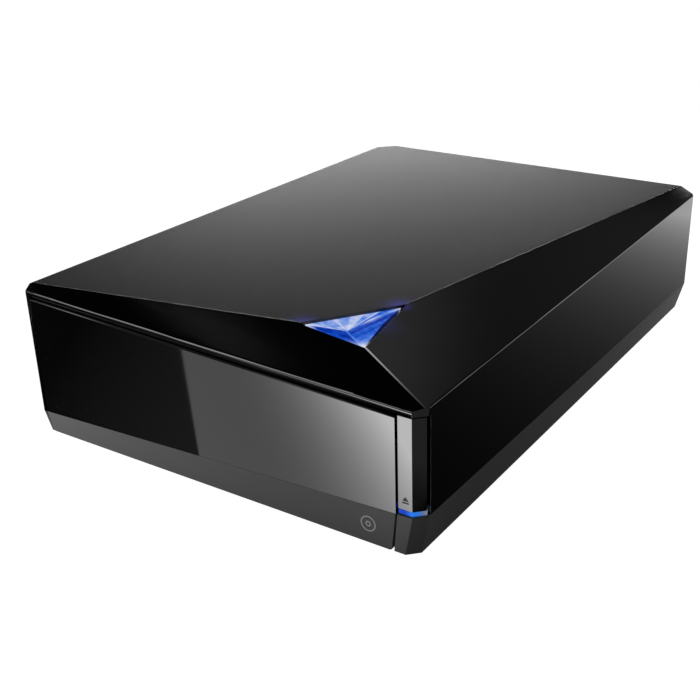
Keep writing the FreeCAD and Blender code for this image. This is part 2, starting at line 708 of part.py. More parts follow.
def usb_socket():
    """Square data socket with a tongue; open to the back."""
    z0 = BOARD_TOP
    z1 = z0 + 10.8
    y1 = SOCKET_FACE
    shell = box(USB_X - USB_HALF, USB_X + USB_HALF, y1 - 16.5, y1, z0, z1)
    low = box(USB_X - 4.25, USB_X + 4.25, y1 - 9.5, y1 + 1, z0 + 0.7, z0 + 6.8)
    high = box(USB_X - 3.2, USB_X + 3.2, y1 - 9.5, y1 + 1, z0 + 6.7, z1 - 0.7)
    tongue = box(USB_X - 2.6, USB_X + 2.6, y1 - 9.6, y1 - 1.2, z0 + 2.4, z0 + 5.2)
    return join([shell.cut(low).cut(high), tongue])


def power_jack():
    y1 = SOCKET_FACE
    body = box(JACK_X - 4.5, JACK_X + 4.5, y1 - 14, y1 - 3, BOARD_TOP, BOARD_TOP + 11)
    nose = bar_y(y1 - 3.1, y1, JACK_X, JACK_Z, 4.0)
    body = join([body, nose]).cut(bar_y(y1 - 9.5, y1 + 1, JACK_X, JACK_Z, 3.0))
    return join([body, bar_y(y1 - 10, y1 - 1.0, JACK_X, JACK_Z, 1.0)])


def link_plug():
    return box(LINK_X0, LINK_X1, MECH_Y1 + 0.2, MECH_Y1 + 9, BOARD_TOP, BOARD_TOP + LINK_H)


def link_socket():
    return box(LINK_X0, LINK_X1, MECH_Y1 - 8, MECH_Y1 + 0.1, BOARD_TOP, BOARD_TOP + LINK_H)


# ---- mechanism housing --------------------------------------------------------------------
def drive_chassis():
    outer = box(MECH_X0, MECH_X1, MECH_Y0, MECH_Y1, MECH_Z0, MECH_SPLIT)
    inner = box(MECH_X0 + SHEET, MECH_X1 - SHEET, MECH_Y0 - 1, MECH_Y1 - SHEET,
                MECH_Z0 + SHEET, MECH_SPLIT + 1)
    shell = outer.cut(inner)
    shell = shell.cut(box(LINK_X0 - 2, LINK_X1 + 2, MECH_Y1 - 2, MECH_Y1 + 1,
                          MECH_Z0 + SHEET + 0.6, 18))
    for x, y in MECH_SCREWS:
        shell = shell.cut(post(x, y, 0, 20, 1.55))
    for i in range(3):
        shell = shell.cut(box(-40 + 30 * i, -24 + 30 * i, -40, -36, 0, 20))
    return shell


def drive_cover():
    outer = box(MECH_X0, MECH_X1, MECH_Y0, MECH_Y1, MECH_SPLIT + 0.2, MECH_Z1)
    inner = box(MECH_X0 + SHEET, MECH_X1 - SHEET, MECH_Y0 - 1, MECH_Y1 - SHEET,
                MECH_SPLIT - 1, MECH_Z1 - SHEET)
    shell = outer.cut(inner)
    bead = Part.makeTorus(30, 0.5, V(MX, DISC_Y, MECH_Z1))
    return join([shell, bead.common(outer.fuse(box(-60, 60, -90, 10, MECH_Z1 - 0.1, MECH_Z1 + 2)))])


def loader_frame():
    """Plastic main frame: rails for the tray, gear deck, cam guide and hinge arms."""
    z_low = MECH_Z0 + SHEET
    x0, x1 = MX - RAIL_OUT, MX + RAIL_OUT
    in0, in1 = MX - RAIL_IN, MX + RAIL_IN
    left = box(x0, in0, MECH_Y0 + 1, MECH_Y1 - 2, z_low, MECH_SPLIT)
    right = box(in1, x1, MECH_Y0 + 1, MECH_Y1 - 2, z_low, MECH_SPLIT)
    deck = box(in0, in1, MECH_Y0 + 3.5, -74.0, DECK_Z, DECK_Z + 1.5)
    front = box(in0, in1, MECH_Y0 + 1, MECH_Y0 + 3.5, z_low, 25.5)
    rear = box(in0, in1, 47.0, MECH_Y1 - 2.0, 16.5, 24.0)
    guides = [box(CAM_X0, CAM_GUIDE_X1, y, y + 1.3, DECK_Z + 1.4, DECK_Z + 3.2)
              for y in (CAM_Y0 - 1.6, CAM_Y1 + 0.3)]
    arms = [box(in0, TRAVERSE_X0 - 2.4, HINGE_Y - 5, HINGE_Y + 5, HINGE_Z - 5, HINGE_Z + 5),
            box(TRAVERSE_X1 + 2.4, in1, HINGE_Y - 5, HINGE_Y + 5, HINGE_Z - 5, HINGE_Z + 5)]
    posts = [post(DRIVE_X, DRIVE_Y, DECK_Z + 1, 28.2, POST_R),
             post(DRIVE_X, DRIVE_Y, DECK_Z + 1, 16.8, 3.4),
             post(PULLEY_X, PULLEY_Y, DECK_Z + 1, 25.0, POST_R),
             post(PULLEY_X, PULLEY_Y, DECK_Z + 1, 16.8, 3.4)]
    frame = join([left, right, deck, front, rear] + guides + arms + posts)
    reach = TRAY_HALF + 2.1
    frame = frame.cut(box(MX - reach, MX + reach, MECH_Y0 - 5, TRAY_Y1 + 1.0,
                          TRAY_FLOOR - 0.4, TRAY_FLOOR + 3.4).cut(
        box(in0 + 0.001, in1 - 0.001, MECH_Y0 - 5, TRAY_Y1 + 2, TRAY_FLOOR - 1, TRAY_FLOOR + 5)))
    frame = frame.cut(bar_x(TRAVERSE_X0 - 9, TRAVERSE_X0 - 1, HINGE_Y, HINGE_Z, 3.6))
    frame = frame.cut(bar_x(TRAVERSE_X1 + 1, TRAVERSE_X1 + 9, HINGE_Y, HINGE_Z, 3.6))
    frame = frame.cut(post(MOTOR_X, MOTOR_Y, 0, 14, 8.1))
    for x, y in MECH_SCREWS:
        frame = frame.cut(post(x, y, 0, 12.5, 1.8))
    return frame.cut(rack_channel(MECH_Y0, TRAY_Y1))


def hinge_bushes():
    bushes = []
    for x0 in (TRAVERSE_X0 - 8.5, TRAVERSE_X1 + 2.5):
        bushes.append(bar_x(x0, x0 + 6, HINGE_Y, HINGE_Z, 3.55).cut(
            bar_x(x0 - 1, x0 + 7, HINGE_Y, HINGE_Z, 1.6)))
    return bushes


def drive_board():
    return box(MX - 64, MX + 64, 8.0, 56.0, BOARD_Z, BOARD_TOP)


def drive_chips():
    top = BOARD_TOP
    chips = [box(-60, -46, 14, 26, top, top + 1.4), box(44, 56, 16, 26, top, top + 1.4),
             box(-58, -50, 34, 44, top, top + 1.2)]
    return chips + [box(20 + 8 * i, 24 + 8 * i, 46, 52, top, top + 2.0) for i in range(3)]


def ribbon_cable():
    return box(-14, 6, 12, 44, BOARD_TOP + 0.02, BOARD_TOP + 0.22)


# ---- tray ---------------------------------------------------------------------------------
def disc_tray():
    """Disc carrier with a 12 cm well, an 8 cm well and a window that is open to the back."""
    x0, x1 = MX - TRAY_HALF, MX + TRAY_HALF
    plate = box(x0, x1, TRAY_Y0, TRAY_Y1, TRAY_FLOOR, TRAY_TOP)
    low_back = box(x0 - 1, x1 + 1, DISC_Y + WELL_R + 4, TRAY_Y1 + 1, 34.0, TRAY_TOP + 1)
    plate = plate.cut(post(MX, DISC_Y, WELL_Z, TRAY_TOP + 1, WELL_R)).cut(low_back)
    plate = plate.cut(post(MX, DISC_Y, SMALL_WELL_Z, TRAY_TOP + 1, SMALL_WELL_R))
    for side in (-1, 1):
        plate = plate.cut(post(MX + side * 44, DISC_Y - 42.0, WELL_Z, TRAY_TOP + 1, 14.0))
    ribs = [box(x0, x0 + 3.2, TRAY_Y0, TRAY_Y1, TRAY_Z0, TRAY_FLOOR + 0.1),
            box(x1 - 3.2, x1, TRAY_Y0, TRAY_Y1, TRAY_Z0, TRAY_FLOOR + 0.1)]
    tongues = [box(x0 - 1.7, x0 + 0.1, MECH_Y0 + 5, TRAY_Y1, TRAY_FLOOR, TRAY_FLOOR + 3),
               box(x1 - 0.1, x1 + 1.7, MECH_Y0 + 5, TRAY_Y1, TRAY_FLOOR, TRAY_FLOOR + 3)]
    tray = join([plate] + ribs + tongues)
    tray = tray.cut(post(MX, DISC_Y, 20, 50, WINDOW_HALF))
    return tray.cut(box(MX - WINDOW_HALF, MX + WINDOW_HALF, DISC_Y, TRAY_Y1 + 1, 20, 50))


def rack_channel(y0, y1):
    """The way that the rack needs through the walls it passes."""
    left = RACK_PITCH_X - 1.15 * RACK_MODULE - RACK_BACK - RACK_ROOM
    right = RACK_PITCH_X + 0.8 * RACK_MODULE + RACK_ROOM
    return box(left, right, y0, y1, RACK_Z0 - RACK_ROOM, TRAY_FLOOR + RACK_ROOM)


def rack_teeth():
    """Tooth outline of the rack, facing +X, with a gap opposite the drive gear's axis."""
    pitch = math.pi * RACK_MODULE
    root = RACK_PITCH_X - 1.15 * RACK_MODULE
    tip = RACK_PITCH_X + 0.8 * RACK_MODULE
    first = DRIVE_Y - 8.0
    count = int((TRAY_Y1 - first) / pitch) - 1
    start = DRIVE_Y + pitch / 2 - 3 * pitch
    points = [(root - RACK_BACK, start - pitch), (root, start - pitch)]
    for i in range(count):
        y = start + i * pitch
        points += [(root, y - 0.33 * pitch), (tip, y - 0.13 * pitch),
                   (tip, y + 0.13 * pitch), (root, y + 0.33 * pitch)]
    last = start + count * pitch
    return points + [(root, last), (root - RACK_BACK, last)]


def tray_rack():
    return prism(rack_teeth(), RACK_Z0, TRAY_FLOOR)


# ---- gear train ---------------------------------------------------------------------------
def gear(x, y, z0, z1, module, teeth, tooth_angle, bore):
    """A spur gear with slim straight-sided teeth, one of them centred on tooth_angle."""
    pitch_r = module * teeth / 2
    root, tip = pitch_r - 1.1 * module, pitch_r + 0.8 * module
    step = 2 * math.pi / teeth
    points = []
    for i in range(teeth):
        middle = tooth_angle + i * step
        for radius, share in ((root, -0.31), (tip, -0.10), (tip, 0.10), (root, 0.31)):
            angle = middle + share * step
            points.append((x + radius * math.cos(angle), y + radius * math.sin(angle)))
    return prism(points, z0, z1).cut(post(x, y, z0 - 1, z1 + 1, bore))


def tray_drive_gear():
    bore = POST_R + RUN
    pinion = gear(DRIVE_X, DRIVE_Y, 20.4, 28.0, RACK_MODULE, PINION_TEETH, math.pi, bore)
    wheel = gear(DRIVE_X, DRIVE_Y, 17.0, 20.5, TRAIN_MODULE, WHEEL_TEETH, TRAIN_ANGLE, bore)
    return join([wheel, pinion])


def pulley(x, y, radius, z0, z1, bore):
    body = post(x, y, z0, z1, radius + 0.8)
    groove = post(x, y, z0 + 0.7, z1 - 0.7, radius + 2).cut(post(x, y, z0, z1, radius))
    return body.cut(groove).cut(post(x, y, z0 - 1, z1 + 1, bore))


def pulley_gear():
    bore = POST_R + RUN
    phase = TRAIN_ANGLE + math.pi + math.pi / SMALL_TEETH
    pinion = gear(PULLEY_X, PULLEY_Y, 17.0, BELT_Z0 + 0.1, TRAIN_MODULE, SMALL_TEETH, phase, bore)
    return join([pinion, pulley(PULLEY_X, PULLEY_Y, PULLEY_R, BELT_Z0, BELT_Z1, bore)])


def loading_motor():
    can = post(MOTOR_X, MOTOR_Y, MECH_Z0 + SHEET, 19.8, 8.0)
    boss = post(MOTOR_X, MOTOR_Y, 19.7, 20.8, 2.6)
    shaft = post(MOTOR_X, MOTOR_Y, 20.7, 25.0, 0.75)
    return join([can, boss, shaft])


def motor_pulley():
    return pulley(MOTOR_X, MOTOR_Y, MOTOR_PULLEY_R, BELT_Z0, BELT_Z1, 0.75 + RUN)


def drive_belt():
    """Rubber loop round both pulleys, a hair clear of their grooves."""
    def loop(extra):
        ra, rb = PULLEY_R + extra, MOTOR_PULLEY_R + extra
        dx, dy = MOTOR_X - PULLEY_X, MOTOR_Y - PULLEY_Y
        distance = math.hypot(dx, dy)
        heading = math.atan2(dy, dx)
        lean = math.acos((ra - rb) / distance)

        def on(cx, cy, r, angle):
            return V(cx + r * math.cos(angle), cy + r * math.sin(angle), 22.2)

        a_up = on(PULLEY_X, PULLEY_Y, ra, heading + lean)
        a_back = on(PULLEY_X, PULLEY_Y, ra, heading + math.pi)
        a_low = on(PULLEY_X, PULLEY_Y, ra, heading - lean)
        b_up = on(MOTOR_X, MOTOR_Y, rb, heading + lean)
        b_tip = on(MOTOR_X, MOTOR_Y, rb, heading)
        b_low = on(MOTOR_X, MOTOR_Y, rb, heading - lean)
        edges = [Part.Arc(a_up, a_back, a_low).toShape(), Part.LineSegment(a_low, b_low).toShape(),
                 Part.Arc(b_low, b_tip, b_up).toShape(), Part.LineSegment(b_up, a_up).toShape()]
        return Part.Face(Part.Wire(edges)).extrude(V(0, 0, 1.4))

    return loop(1.1).cut(loop(0.1))


# ---- traverse -----------------------------------------------------------------------------
def cam_slider():
    """Sideways slider with the slanted slot that lifts the traverse's front pin."""
    reach = CAM_PIN_ARM * math.sin(TIP_ANGLE)
    plate = box(CAM_X0, CAM_X1, CAM_Y0, CAM_Y1, DECK_Z + 1.8, CAM_TOP)
    half = CAM_PIN_R + 0.45
    top = V(MX, 0, CAM_PIN_Z)
    low = V(MX - CAM_TRAVEL, 0, CAM_PIN_Z - reach)
    run = (low - top).normalize()
    side = V(-run.z, 0, run.x) * half
    corners = [top + side, low + side, low - side, top - side]
    slot = prism_y([(p.x, p.z) for p in corners], CAM_Y0 - 1, CAM_Y1 + 1)
    for end in (top, low):
        slot = slot.fuse(bar_y(CAM_Y0 - 1, CAM_Y1 + 1, end.x, end.z, half))
    return plate.cut(slot)


def traverse_frame():
    """Tipping sub-frame that carries the spindle, the rods and the feed."""
    plate = box(TRAVERSE_X0, TRAVERSE_X1, TRAVERSE_Y0, TRAVERSE_Y1, TRAVERSE_Z0, TRAVERSE_Z1)
    plate = plate.cut(box(FEED_X0, FEED_X1, FEED_Y0, FEED_Y1, 0, TOP_Z))
    plate = plate.cut(post(MX, DISC_Y, 0, TOP_Z, SPINDLE_R + 0.1))
    lug = box(MX - 4, MX + 4, TRAVERSE_Y0, TRAVERSE_Y0 + 3, TRAVERSE_Z1 - 0.5, 24.0)
    pin = bar_y(CAM_Y0 + 0.2, TRAVERSE_Y0 + 0.5, MX, CAM_PIN_Z, CAM_PIN_R)
    pins = [bar_x(TRAVERSE_X0 - 8.2, TRAVERSE_X0 + 0.5, HINGE_Y, HINGE_Z, 1.5),
            bar_x(TRAVERSE_X1 - 0.5, TRAVERSE_X1 + 8.2, HINGE_Y, HINGE_Z, 1.5)]
    frame = join([plate, lug, pin] + pins)
    for x in (ROD_LEFT, ROD_RIGHT):
        frame = frame.cut(bar_y(ROD_Y0 - 0.1, ROD_Y1 + 0.1, x, ROD_Z, ROD_R))
    frame = frame.cut(bar_y(SCREW_Y0 - 0.3, SCREW_Y1 + 0.8, SCREW_X, ROD_Z, SCREW_R + 0.1))
    room = FEED_MOTOR_R + 0.2
    return frame.cut(box(SCREW_X - room, SCREW_X + room, FEED_Y1 - 1, FEED_MOTOR_Y1, 0, TOP_Z))


def spindle_motor():
    stator = post(MX, DISC_Y, 15.5, 22.8, SPINDLE_R)
    shaft = post(MX, DISC_Y, 22.7, 26.0, SPINDLE_SHAFT_R)
    return join([stator, shaft])


def turntable():
    """Disc platform with its centring cone."""
    rotor = post(MX, DISC_Y, 23.1, 28.6, SPINDLE_R)
    platform = post(MX, DISC_Y, 28.5, TABLE_Z, TABLE_R)
    cone = Part.makeCone(7.4, 6.2, 2.4, V(MX, DISC_Y, TABLE_Z))
    table = join([rotor, platform, cone])
    table = table.cut(post(MX, DISC_Y, 20, 26.4, SPINDLE_SHAFT_R + RUN))
    for i in range(3):
        angle = 2 * math.pi * i / 3
        table = table.cut(post(MX + 10.5 * math.cos(angle), DISC_Y + 10.5 * math.sin(angle),
                               TABLE_Z - 0.6, TABLE_Z + 1.4, 1.2))
    return table


def turntable_ring():
    """Rubber ring that grips the disc."""
    ring = post(MX, DISC_Y, TABLE_Z, TABLE_Z + 0.5, TABLE_R - 0.2)
    return ring.cut(post(MX, DISC_Y, TABLE_Z - 1, TABLE_Z + 1, TABLE_R - 2.5))


def guide_rods():
    return [bar_y(ROD_Y0, ROD_Y1, x, ROD_Z, ROD_R) for x in (ROD_LEFT, ROD_RIGHT)]


def feed_motor():
    can = bar_y(FEED_MOTOR_Y0, FEED_MOTOR_Y1, SCREW_X, ROD_Z, FEED_MOTOR_R)
    nose = bar_y(FEED_MOTOR_Y0 - 0.7, FEED_MOTOR_Y0 + 0.1, SCREW_X, ROD_Z, 2.2)
    return join([can, nose])


def lead_screw():
    """Shaft with a turned groove every pitch."""
    shaft = bar_y(SCREW_Y0, SCREW_Y1, SCREW_X, ROD_Z, SCREW_R)
    for i in range(19):
        y = FEED_Y0 + SCREW_PITCH * (i + 1)
        core = bar_y(y - 1, y + 2.2, SCREW_X, ROD_Z, 1.15)
        shaft = shaft.cut(bar_y(y, y + 1.2, SCREW_X, ROD_Z, 2 * SCREW_R).cut(core))
    return shaft


def pickup_head():
    body = box(-25.0, 16.0, PICKUP_Y0, PICKUP_Y1, 16.0, 24.6)
    ears = [box(-31.0, -24.5, -31.0, -25.5, EAR_Z0, EAR_Z1),
            box(-31.0, -24.5, -16.5, -11.0, EAR_Z0, EAR_Z1),
            box(15.5, 22.0, -24.0, -18.0, EAR_Z0, EAR_Z1)]
    nut = box(21.5, 29.0, -23.0, -19.0, EAR_Z0, EAR_Z1)
    well = post(MX, LENS_Y, 22.4, 30, 6.6)
    head = join([body, nut] + ears).cut(well)
    for x in (ROD_LEFT, ROD_RIGHT):
        head = head.cut(bar_y(ROD_Y0, ROD_Y1, x, ROD_Z, ROD_R + RUN))
    return head.cut(bar_y(ROD_Y0, ROD_Y1, SCREW_X, ROD_Z, SCREW_R + RUN))


def lens_carrier():
    holder = box(MX - 4.2, MX + 4.2, LENS_Y - 4.2, LENS_Y + 4.2, 23.1, 25.6)
    return holder.cut(post(MX, LENS_Y, 20, 30, LENS_R))


def objective_lens():
    dome = Part.makeSphere(5.0, V(MX, LENS_Y, 21.2))
    disc = post(MX, LENS_Y, 24.2, 25.2, LENS_R)
    cap = dome.common(post(MX, LENS_Y, 25.1, 30, 2.6))
    return join([disc, cap])


# ---- clamp --------------------------------------------------------------------------------
def clamper_bridge():
    plate = box(MX - RAIL_OUT, MX + RAIL_OUT, DISC_Y - 22, DISC_Y + 22, MECH_SPLIT, 41.0)
    return plate.cut(post(MX, DISC_Y, 35, 45, CLAMP_R + 2.5))


def disc_clamper():
    hub = post(MX, DISC_Y, 34.6, 41.5, CLAMP_R).cut(post(MX, DISC_Y, 34, 36.4, 8.4))
    flange = post(MX, DISC_Y, 41.4, 43.0, CLAMP_FLANGE_R)
    return join([hub, flange])


def clamper_magnet():
    return post(MX, DISC_Y, 43.0, 45.2, 9.0).cut(post(MX, DISC_Y, 40, 50, 4.0))


# ---- write every node ---------------------------------------------------------------------
save("top_cover", top_cover())
save("top_panel", top_panel())
save("base_tray", base_tray())
save("front_panel", front_panel())
save("front_skirt", front_skirt())
save("front_frame", front_frame())
save("rear_panel", rear_panel())
save("rubber_feet", rubber_feet())
save("case_screws", [screw(x, y, 12.4, 1.6, 2.7, 30.0, 1.25) for x, y in CASE_SCREWS])
save("mechanism_screws", [screw(x, y, 4.4, 1.2, 2.8, 8.6, 1.5) for x, y in MECH_SCREWS])
save("board_screws", [join([post(x, y, 10.8, 12.2, 2.2), post(x, y, 6.0, 10.9, 0.95)])
                      for x, y in BOARD_SCREWS])
save("eject_button", eject_button())
save("button_light_guide", button_light_guide())
save("button_spring", button_spring())
save("button_board", button_board())
save("eject_switch", eject_switch())
save("jewel_lens", jewel_lens())
save("jewel_reflector", jewel_reflector())
light_board, lights = jewel_light_board()
save("jewel_light_board", light_board)
save("jewel_lights", lights)
save("bridge_board", bridge_board())
save("bridge_chips", bridge_chips())
save("data_socket", usb_socket())
save("power_jack", power_jack())
save("link_plug", link_plug())
save("link_socket", link_socket())
save("drive_chassis", drive_chassis())
save("drive_cover", drive_cover())
save("loader_frame", loader_frame())
save("hinge_bushes", hinge_bushes())
save("drive_board", drive_board())
save("drive_chips", drive_chips())
save("pickup_ribbon_cable", ribbon_cable())
save("disc_tray", disc_tray())
save("tray_rack", tray_rack())
save("tray_drive_gear", tray_drive_gear())
save("pulley_gear", pulley_gear())
save("loading_motor", loading_motor())
save("motor_pulley", motor_pulley())
save("drive_belt", drive_belt())
save("cam_slider", cam_slider())
save("traverse_frame", traverse_frame())
save("spindle_motor", spindle_motor())
save("turntable", turntable())
save("turntable_ring", turntable_ring())
save("guide_rods", guide_rods())
save("feed_motor", feed_motor())
save("lead_screw", lead_screw())
save("pickup_head", pickup_head())
save("lens_carrier", lens_carrier())
save("objective_lens", objective_lens())
save("clamper_bridge", clamper_bridge())
save("disc_clamper", disc_clamper())
save("clamper_magnet", clamper_magnet())
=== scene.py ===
"""Looks of the external optical drive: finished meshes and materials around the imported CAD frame.

Metres, same frame as the CAD: +Z up, the tray opens towards -Y, the eject button is on the +X side.
"""
import json
import math

import bmesh
import bpy
from mathutils import Matrix, Vector


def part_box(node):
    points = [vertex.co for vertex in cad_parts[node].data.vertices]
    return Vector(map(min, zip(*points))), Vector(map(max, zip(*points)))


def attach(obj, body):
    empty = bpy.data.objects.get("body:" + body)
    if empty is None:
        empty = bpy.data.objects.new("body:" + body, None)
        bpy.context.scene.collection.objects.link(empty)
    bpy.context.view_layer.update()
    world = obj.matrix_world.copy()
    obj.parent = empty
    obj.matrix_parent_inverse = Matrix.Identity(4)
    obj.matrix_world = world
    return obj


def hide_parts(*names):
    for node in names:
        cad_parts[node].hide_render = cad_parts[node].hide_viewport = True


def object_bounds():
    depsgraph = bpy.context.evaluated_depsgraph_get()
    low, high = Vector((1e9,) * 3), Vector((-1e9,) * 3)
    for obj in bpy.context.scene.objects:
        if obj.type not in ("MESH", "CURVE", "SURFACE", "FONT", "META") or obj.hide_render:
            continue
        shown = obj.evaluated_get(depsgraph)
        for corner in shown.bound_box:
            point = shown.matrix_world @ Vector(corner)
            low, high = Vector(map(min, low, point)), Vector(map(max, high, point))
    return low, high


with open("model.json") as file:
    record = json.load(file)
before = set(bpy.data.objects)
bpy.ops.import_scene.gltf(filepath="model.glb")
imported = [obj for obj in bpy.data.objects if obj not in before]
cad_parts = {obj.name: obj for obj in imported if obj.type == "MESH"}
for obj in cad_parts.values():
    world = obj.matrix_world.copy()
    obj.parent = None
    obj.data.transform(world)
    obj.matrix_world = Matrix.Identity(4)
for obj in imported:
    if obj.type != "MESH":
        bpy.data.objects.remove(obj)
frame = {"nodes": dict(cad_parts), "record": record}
CAD_LOW, CAD_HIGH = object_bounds()

MM = 0.001
FRONT = CAD_LOW[1]           # y of the closed front
RIGHT = CAD_HIGH[0]          # x of the right wall
BODY_OF = {node: body for body, nodes in frame["record"]["behaviour"]["bodies"].items()
           for node in nodes}
SLOT_OF = {part["node"]: part["material_slot"] for part in frame["record"]["subparts"]}


def direction(azimuth, elevation):
    """Unit vector; azimuth in degrees from +Y towards +X, elevation up from the floor."""
    a, e = math.radians(azimuth), math.radians(elevation)
    return Vector((math.sin(a) * math.cos(e), math.cos(a) * math.cos(e), math.sin(e)))


# ---- the jewel's corners, read from its CAD solid -----------------------------------------
LEVEL = 0.02 * MM            # points this close in height count as level


def jewel_corners():
    """Left, right, foot and apex of the jewel's outer face."""
    points = [v.co.copy() for v in frame["nodes"]["jewel_lens"].data.vertices]
    top = max(p.z for p in points)
    flat = [p for p in points if p.z > top - LEVEL]
    left = min(flat, key=lambda p: p.x)
    right = max(flat, key=lambda p: p.y)
    apex = max(flat, key=lambda p: p.x - p.y)
    low_y = min(p.y for p in points)
    foot = max((p for p in points if p.y < low_y + LEVEL), key=lambda p: p.z)
    return left, right, foot, apex


JEWEL_LEFT, JEWEL_RIGHT, JEWEL_FOOT, JEWEL_APEX = jewel_corners()


# ---- shader graph helper ------------------------------------------------------------------
class Graph:
    """Short calls that add and link shader nodes in one node tree."""

    def __init__(self, tree):
        self.tree = tree
        tree.nodes.clear()
        self.coords = tree.nodes.new("ShaderNodeTexCoord")

    def put(self, socket, value):
        if isinstance(value, bpy.types.NodeSocket):
            self.tree.links.new(value, socket)
        elif value is not None:
            socket.default_value = value

    def add(self, kind, output=0, options=None, **inputs):
        """Add a node, set options and inputs (by name, or i0, i1 by number), return an output."""
        node = self.tree.nodes.new("ShaderNode" + kind)
        for key, value in (options or {}).items():
            setattr(node, key, value)
        for key, value in inputs.items():
            number = key[1:].isdigit()
            self.put(node.inputs[int(key[1:]) if number else key.replace("_", " ")], value)
        return node.outputs[output]

    def noise(self, scale, detail=3.0, roughness=0.55, vector=None):
        where = vector or self.coords.outputs["Object"]
        return self.add("TexNoise", Vector=where, Scale=scale, Detail=detail, Roughness=roughness)

    def stretched(self, sx, sy, sz, turn=0.0):
        return self.add("Mapping", Vector=self.coords.outputs["Object"], Scale=(sx, sy, sz),
                        Rotation=(0, 0, turn))

    def span(self, value, low, high, from_low=0.0, from_high=1.0):
        return self.add("MapRange", Value=value, From_Min=from_low, From_Max=from_high,
                        To_Min=low, To_Max=high)

    def math(self, operation, a, b=0.0):
        return self.add("Math", options={"operation": operation}, i0=a, i1=b)

    def total(self, *values):
        result = values[0]
        for value in values[1:]:
            result = self.math("ADD", result, value)
        return result

    def product(self, *values):
        result = values[0]
        for value in values[1:]:
            result = self.math("MULTIPLY", result, value)
        return result

    def along(self, vector, towards):
        """How far a vector reaches along a fixed one."""
        return self.add("VectorMath", output=1, options={"operation": "DOT_PRODUCT"},
                        i0=vector, i1=tuple(towards))

    def mix(self, share, a, b):
        node = self.tree.nodes.new("ShaderNodeMix")
        node.data_type = "RGBA"
        self.put(node.inputs[0], share)
        self.put(node.inputs[6], a)
        self.put(node.inputs[7], b)
        return node.outputs[2]

    def bump(self, height, strength, distance=0.0001, radius=0.15):
        """Surface relief on top of edges that look rounded by a small radius in millimetres."""
        rounded = self.add("Bevel", options={"samples": 6}, Radius=radius * MM)
        return self.add("Bump", Height=height, Strength=strength, Distance=distance,
                        Normal=rounded)

    def axis(self, vector, index):
        return self.add("SeparateXYZ", output=index, Vector=vector)

    def ramp(self, value, stops):
        """Colour by value, through a list of (position, colour)."""
        node = self.tree.nodes.new("ShaderNodeValToRGB")
        elements = node.color_ramp.elements
        for position, colour in stops[1:-1]:
            elements.new(position).color = colour
        elements[0].color = stops[0][1]
        elements[-1].color = stops[-1][1]
        self.put(node.inputs[0], value)
        return node.outputs[0]

    def bell(self, distance, width, strength):
        """strength at distance 0, fading as a bell curve of the given width."""
        share = self.math("DIVIDE", distance, width)
        return self.product(self.math("EXPONENT", self.product(share, share, -1.0)), strength)


class Surface(Graph):
    """A material with one Principled shader."""

    def __init__(self, name):
        self.material = bpy.data.materials.new(name)
        self.material.use_nodes = True
        super().__init__(self.material.node_tree)
        out = self.tree.nodes.new("ShaderNodeOutputMaterial")
        self.shader = self.tree.nodes.new("ShaderNodeBsdfPrincipled")
        self.tree.links.new(self.shader.outputs[0], out.inputs["Surface"])

    def set(self, **values):
        for key, value in values.items():
            self.put(self.shader.inputs[key.replace("_", " ")], value)

    def pale_convex_edges(self):
        """1 on sharp convex edges, 0 on flats; the colour is made paler there."""
        geometry = self.tree.nodes.new("ShaderNodeNewGeometry")
        return self.span(geometry.outputs["Pointiness"], 0.0, 1.0, 0.52, 0.6)

    def painted_jewel_glow(self, *painted_light_spots):
        """Painted blue glow on the plastic, as if thrown by the jewel: (place, reach in mm,
        strength), not down in gaps.
        """
        parts = []
        for place, reach, strength in painted_light_spots:
            away = self.add("VectorMath", output=1, options={"operation": "DISTANCE"},
                            i0=self.coords.outputs["Object"], i1=tuple(place))
            parts.append(self.bell(away, reach * MM, strength))
        geometry = self.tree.nodes.new("ShaderNodeNewGeometry")
        upward = self.span(self.axis(geometry.outputs["Normal"], 2), 0.0, 1.0, 0.5, 0.7)
        self.set(Emission_Color=(0.10, 0.10, 1.0, 1),
                 Emission_Strength=self.product(self.total(*parts), upward))


def grey(value):
    return (value, value, value, 1.0)


# ---- materials ----------------------------------------------------------------------------
def gloss_black():
    """Piano-black plastic: mirror-like, with faint orange peel, hairlines and fine dust."""
    s = Surface("gloss_black")
    dust = s.span(s.noise(900, 2), 0.0, 1.0, 0.66, 0.8)
    s.set(Base_Color=s.mix(dust, grey(0.0006), grey(0.004)),
          Roughness=s.span(s.noise(40, 4), 0.03, 0.07),
          Normal=s.bump(s.noise(140, 2), 0.012, radius=0.06), IOR=1.5)
    # painted blue glow by the jewel's right corner and along its right edge
    s.painted_jewel_glow((JEWEL_RIGHT, 2.4, 0.15), ((JEWEL_RIGHT + JEWEL_FOOT) / 2, 5.0, 0.035))
    return s.material


def grain_black():
    """Finely sandblasted plate: every grain mirrors a little more or less."""
    s = Surface("grain_black")
    fine = s.noise(1700, 3, 0.75)
    s.set(Base_Color=s.mix(s.span(fine, 0, 1, 0.3, 0.7), grey(0.012), grey(0.034)),
          Roughness=s.span(s.noise(420, 3), 0.17, 0.21),
          Specular_IOR_Level=s.span(fine, 0.36, 0.64, 0.35, 0.65),
          Normal=s.bump(fine, 0.25, 0.00008), IOR=1.5)
    # painted blue glow round the jewel's left and right corners
    s.painted_jewel_glow((JEWEL_LEFT, 4.6, 0.12), (JEWEL_RIGHT, 4.6, 0.15))
    return s.material


def moulded(name, colour, rough, grain=0.2, specular=0.5):
    """Plain moulded plastic with a fine tool finish and paler edges."""
    s = Surface(name)
    pale = tuple(min(1.0, c * 1.5 + 0.006) for c in colour[:3]) + (1.0,)
    fine = s.noise(1500, 3, 0.6)
    mottled = s.mix(s.span(fine, 0, 0.35), colour, pale)
    s.set(Base_Color=s.mix(s.pale_convex_edges(), mottled, pale),
          Roughness=s.span(s.noise(220, 3), rough - 0.06, rough + 0.06),
          Normal=s.bump(fine, grain, 0.0001), IOR=1.5, Specular_IOR_Level=specular)
    return s.material


